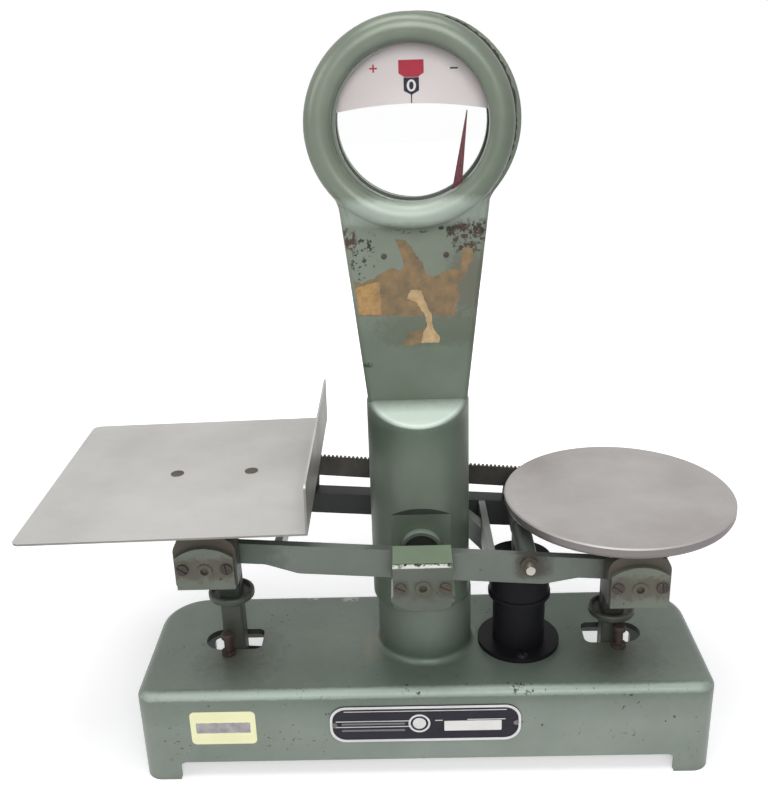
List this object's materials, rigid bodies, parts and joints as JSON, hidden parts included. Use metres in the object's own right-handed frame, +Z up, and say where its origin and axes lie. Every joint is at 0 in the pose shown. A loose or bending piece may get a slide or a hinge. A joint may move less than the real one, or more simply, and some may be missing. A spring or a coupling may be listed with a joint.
{
  "type": "counter balance scale",
  "caption": "Over-and-under counter balance: cast base and tower with a round chart window, rocking beam, square plate and round pan, oil dashpot.",
  "frame": {"origin": "on the table (Z = 0), under the middle of the overall box: X = 0 is midway between the square plate's left edge and the round pan's right edge, and Y = 0 runs through the two stems; the centre pivot is at X = 19.916 mm", "axes": "+Z up, +X to the user's right along the beam, -Y towards the user who reads the window"},
  "size_m": [0.5356, 0.212, 0.575],
  "materials": {
    "green_enamel": "satin enamel, worn",
    "dark_iron": "dull, oily",
    "steel": "dull, light rust",
    "bearing_brass": "dull",
    "plate_aluminium": "matt, scuffed",
    "black_paint": "semi-gloss",
    "window_glass": "clear",
    "chart_card": "matt",
    "label_paper": "matt paper",
    "etched_plate": "etched, black fields",
    "pointer_red": "painted dark red"
  },
  "bodies": {
    "base": {"base_casting": "green_enamel", "nameplate": "etched_plate", "nameplate_pins": "steel", "paper_label": "label_paper", "front_housing": "green_enamel", "rear_housing": "green_enamel", "housing_screws": "steel", "column_bolts": "steel", "front_glass": "window_glass", "rear_glass": "window_glass", "glass_retainers": "steel", "chart_plate": "chart_card", "chart_screws": "steel", "tower_rivets": "steel", "pointer_shaft": "steel", "front_bracket": "green_enamel", "front_bracket_cover": "green_enamel", "front_bracket_screws": "steel", "fixing_screws": "steel", "rear_bracket": "green_enamel", "rear_bracket_bolts": "steel", "centre_bearings": "bearing_brass", "dashpot_body": "black_paint", "dashpot_cap": "black_paint", "dashpot_screws": "steel", "stop_screws": "steel", "stop_nuts": "steel", "check_bracket": "dark_iron", "check_pin": "steel"},
    "beam": {"beam_casting": "green_enamel", "centre_pivots": "steel", "end_pivots": "steel", "tare_bar": "dark_iron", "cross_rod": "steel", "cross_rod_nut": "steel", "link_pin": "steel"},
    "left_support": {"left_support": "dark_iron", "left_covers": "green_enamel", "left_cover_screws": "steel", "left_bearings": "bearing_brass", "left_stem_pin": "steel", "square_plate": "plate_aluminium", "plate_carrier": "plate_aluminium", "plate_rivets": "steel", "plate_pins": "steel"},
    "right_support": {"right_support": "dark_iron", "right_covers": "green_enamel", "right_cover_screws": "steel", "right_bearings": "bearing_brass", "right_stem_pin": "steel", "locating_pins": "steel"},
    "round_pan": {"round_pan": "plate_aluminium"},
    "check_lever": {"check_lever": "dark_iron"},
    "pointer": {"pointer": "pointer_red"},
    "pointer_link": {"pointer_link": "steel"},
    "dashpot_piston": {"dashpot_hanger": "dark_iron", "piston_rod": "steel", "piston": "steel"},
    "poise": {"poise": "dark_iron", "poise_screw": "bearing_brass"}
  },
  "joints": [
    {"name": "beam_tilt", "type": "hinge", "parent": "base", "child": "beam", "pos_m": [0.01992, 0, 0.19], "axis": [0, -1, 0], "range_deg": [0, 8.4]},
    {"name": "left_support_hinge", "type": "hinge", "parent": "beam", "child": "left_support", "pos_m": [-0.13796, 0, 0.20159], "axis": [0, -1, 0], "range_deg": [-8.4, 0]},
    {"name": "right_support_hinge", "type": "hinge", "parent": "beam", "child": "right_support", "pos_m": [0.17779, 0, 0.17841], "axis": [0, -1, 0], "range_deg": [-8.4, 0]},
    {"name": "pan_lift", "type": "slide", "parent": "right_support", "child": "round_pan", "axis": [0, 0, 1], "range_m": [0, 0.03]},
    {"name": "check_lever_hinge", "type": "hinge", "parent": "base", "child": "check_lever", "pos_m": [0.01992, 0, 0.05], "axis": [0, -1, 0], "range_deg": [0, 8.4]},
    {"name": "pointer_hinge", "type": "hinge", "parent": "base", "child": "pointer", "pos_m": [0.01992, -0.008, 0.228], "axis": [0, -1, 0], "range_deg": [0, 15.12]},
    {"name": "link_hinge", "type": "hinge", "parent": "pointer", "child": "pointer_link", "pos_m": [0.03479, -0.011, 0.22603], "axis": [0, -1, 0], "range_deg": [-15.12, 0]},
    {"name": "piston_slide", "type": "slide", "parent": "base", "child": "dashpot_piston", "axis": [0, 0, 1], "range_m": [0, 0.0118]},
    {"name": "poise_slide", "type": "slide", "parent": "beam", "child": "poise", "axis": [0.9959, 0, -0.0906], "range_m": [-0.062, 0.062]}
  ],
  "couplings": [
    {"joint": "left_support_hinge", "follows": "beam_tilt", "ratio": -1},
    {"joint": "right_support_hinge", "follows": "beam_tilt", "ratio": -1},
    {"joint": "check_lever_hinge", "follows": "beam_tilt", "ratio": 1},
    {"joint": "pointer_hinge", "follows": "beam_tilt", "ratio": 1.8},
    {"joint": "link_hinge", "follows": "beam_tilt", "ratio": -1.8},
    {"joint": "piston_slide", "follows": "beam_tilt", "m_per_rad": 0.0795}
  ]
}
